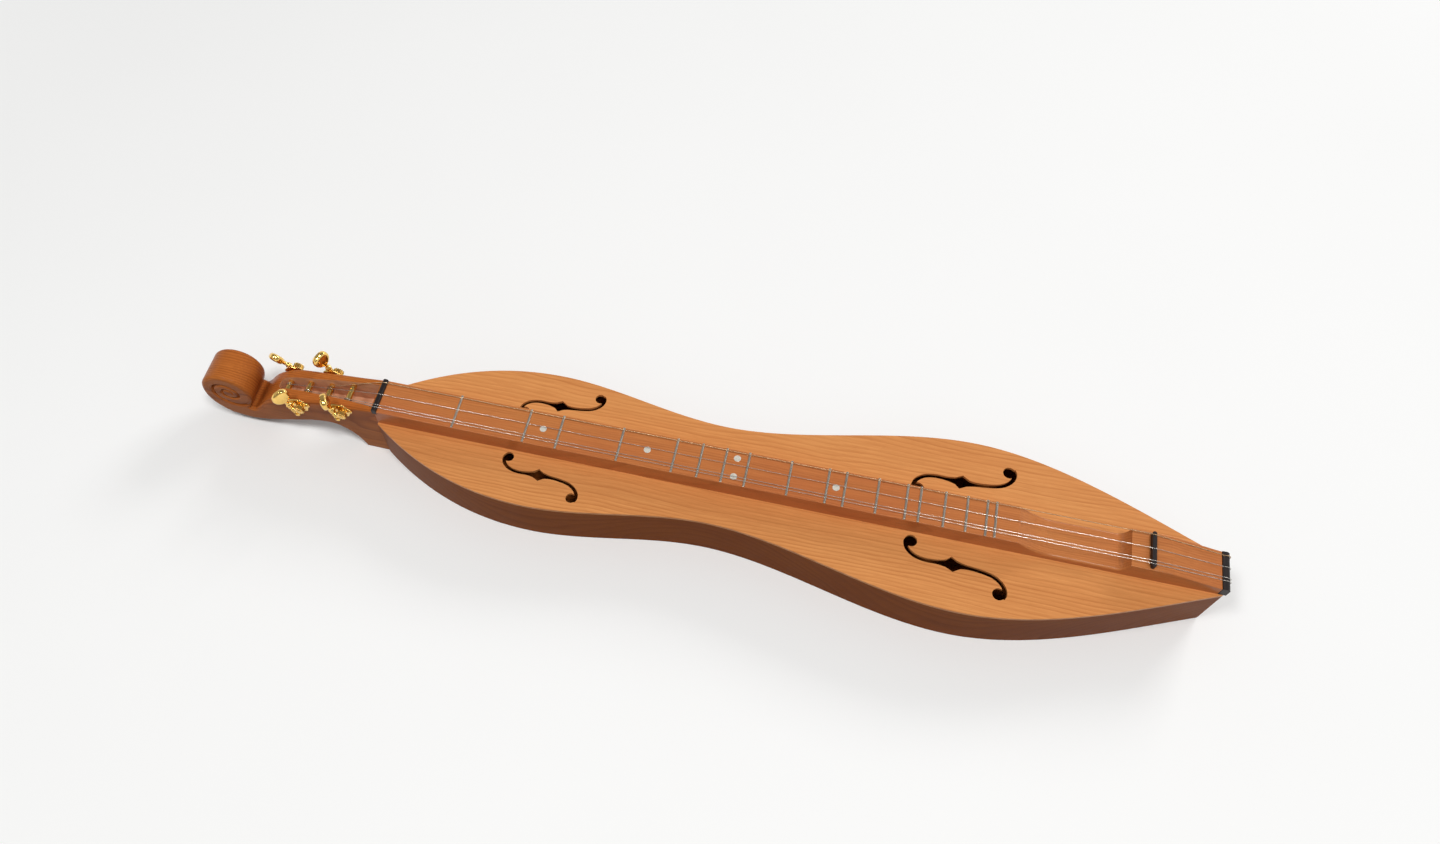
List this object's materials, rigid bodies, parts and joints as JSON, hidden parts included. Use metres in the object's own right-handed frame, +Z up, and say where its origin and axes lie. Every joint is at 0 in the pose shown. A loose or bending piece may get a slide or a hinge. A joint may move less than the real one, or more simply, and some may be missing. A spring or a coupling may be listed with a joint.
{
  "type": "mountain dulcimer",
  "caption": "Hourglass mountain dulcimer with a fretboard down the middle, f-shaped sound holes, a strum hollow, a scroll peghead and geared tuners.",
  "frame": {"origin": "middle of the instrument on the plane of its flat back", "axes": "+X along the strings from the peghead to the tail, +Y across to the bass side, +Z up out of the fretboard"},
  "size_m": [0.9872, 0.1732, 0.0957],
  "materials": {
    "cherry_top": "satin",
    "cherry_side": "satin",
    "cherry_head": "satin",
    "cherry_board": "satin",
    "inner_spruce": "bare",
    "ebony": "satin",
    "fret_nickel": "polished",
    "dot_pearl": "gloss",
    "gold_plate": "polished",
    "string_steel": "polished",
    "string_bronze": "wound"
  },
  "bodies": {
    "instrument": {"soundboard": "cherry_top", "back": "cherry_side", "side_near": "cherry_side", "side_far": "cherry_side", "peghead": "cherry_head", "fretboard": "cherry_board", "head_end_block": "inner_spruce", "tail_end_block": "inner_spruce", "top_brace_1": "inner_spruce", "top_brace_2": "inner_spruce", "back_brace_1": "inner_spruce", "back_brace_2": "inner_spruce", "nut": "ebony", "bridge": "ebony", "end_piece": "ebony", "fret_01": "fret_nickel", "fret_02": "fret_nickel", "fret_03": "fret_nickel", "fret_04": "fret_nickel", "fret_05": "fret_nickel", "fret_06": "fret_nickel", "fret_07": "fret_nickel", "fret_08": "fret_nickel", "fret_09": "fret_nickel", "fret_10": "fret_nickel", "fret_11": "fret_nickel", "fret_12": "fret_nickel", "fret_13": "fret_nickel", "fret_14": "fret_nickel", "fret_15": "fret_nickel", "fret_16": "fret_nickel", "fret_17": "fret_nickel", "fret_18": "fret_nickel", "dot_1": "dot_pearl", "dot_2": "dot_pearl", "dot_3": "dot_pearl", "dot_4": "dot_pearl", "dot_5": "dot_pearl", "pin_string_bass": "gold_plate", "pin_string_middle": "gold_plate", "pin_string_melody_inner": "gold_plate", "pin_string_melody_outer": "gold_plate", "string_bass": "string_bronze", "string_middle": "string_steel", "string_melody_inner": "string_steel", "string_melody_outer": "string_steel", "tuner_plate_near_tail": "gold_plate", "tuner_plate_far_tail": "gold_plate", "tuner_plate_near_head": "gold_plate", "tuner_plate_far_head": "gold_plate"},
    "knob_near_tail": {"tuner_knob_near_tail": "gold_plate"},
    "post_near_tail": {"tuner_gear_near_tail": "gold_plate"},
    "knob_far_tail": {"tuner_knob_far_tail": "gold_plate"},
    "post_far_tail": {"tuner_gear_far_tail": "gold_plate"},
    "knob_near_head": {"tuner_knob_near_head": "gold_plate"},
    "post_near_head": {"tuner_gear_near_head": "gold_plate"},
    "knob_far_head": {"tuner_knob_far_head": "gold_plate"},
    "post_far_head": {"tuner_gear_far_head": "gold_plate"}
  },
  "joints": [
    {"name": "knob_spin_near_tail", "type": "hinge", "parent": "instrument", "child": "knob_near_tail", "pos_m": [-0.34236, -0.0242, 0.06662], "axis": [-0.1908, 0, 0.9816], "continuous": true},
    {"name": "post_spin_near_tail", "type": "hinge", "parent": "instrument", "child": "post_near_tail", "pos_m": [-0.33525, 0, 0.068], "axis": [0, 1, 0], "continuous": true},
    {"name": "knob_spin_far_tail", "type": "hinge", "parent": "instrument", "child": "knob_far_tail", "pos_m": [-0.36602, 0.0242, 0.0605], "axis": [-0.2756, 0, 0.9613], "continuous": true},
    {"name": "post_spin_far_tail", "type": "hinge", "parent": "instrument", "child": "post_far_tail", "pos_m": [-0.35905, 0, 0.0625], "axis": [0, 1, 0], "continuous": true},
    {"name": "knob_spin_near_head", "type": "hinge", "parent": "instrument", "child": "knob_near_head", "pos_m": [-0.3881, -0.0242, 0.05914], "axis": [-0.3256, 0, 0.9455], "continuous": true},
    {"name": "post_spin_near_head", "type": "hinge", "parent": "instrument", "child": "post_near_head", "pos_m": [-0.38125, 0, 0.0615], "axis": [0, 1, 0], "continuous": true},
    {"name": "knob_spin_far_head", "type": "hinge", "parent": "instrument", "child": "knob_far_head", "pos_m": [-0.40821, 0.0242, 0.05215], "axis": [-0.766, 0, 0.6428], "continuous": true},
    {"name": "post_spin_far_head", "type": "hinge", "parent": "instrument", "child": "post_far_head", "pos_m": [-0.40355, 0, 0.0577], "axis": [0, 1, 0], "continuous": true}
  ],
  "couplings": [
    {"joint": "post_spin_near_tail", "follows": "knob_spin_near_tail", "ratio": -0.071429},
    {"joint": "post_spin_far_tail", "follows": "knob_spin_far_tail", "ratio": -0.071429},
    {"joint": "post_spin_near_head", "follows": "knob_spin_near_head", "ratio": -0.071429},
    {"joint": "post_spin_far_head", "follows": "knob_spin_far_head", "ratio": -0.071429}
  ]
}
